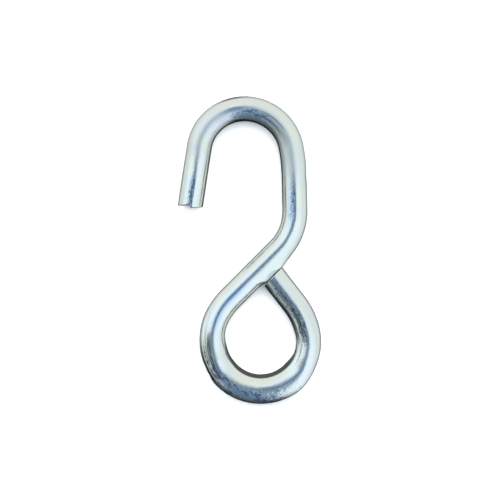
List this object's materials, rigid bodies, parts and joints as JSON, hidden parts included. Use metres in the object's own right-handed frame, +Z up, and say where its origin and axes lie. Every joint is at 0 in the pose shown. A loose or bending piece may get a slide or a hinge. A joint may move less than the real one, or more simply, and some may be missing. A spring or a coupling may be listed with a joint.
{
  "type": "safety chain hook",
  "caption": "Open S-shaped hook bent from round bar, with a closed teardrop eye for the end link of a trailer's safety chain.",
  "frame": {"origin": "under the middle of the hook's box, on the surface that the hook lies flat on", "axes": "+Y along the hook's length towards the open hook, +X towards the shank's side, +Z up out of the hook's plane"},
  "size_m": [0.054, 0.116, 0.0095],
  "materials": {
    "zinc_plate": "bright zinc plate over cold-bent steel bar, with a faint blue and straw tint"
  },
  "bodies": {
    "root": {"hook_bar": "zinc_plate"}
  },
  "joints": []
}
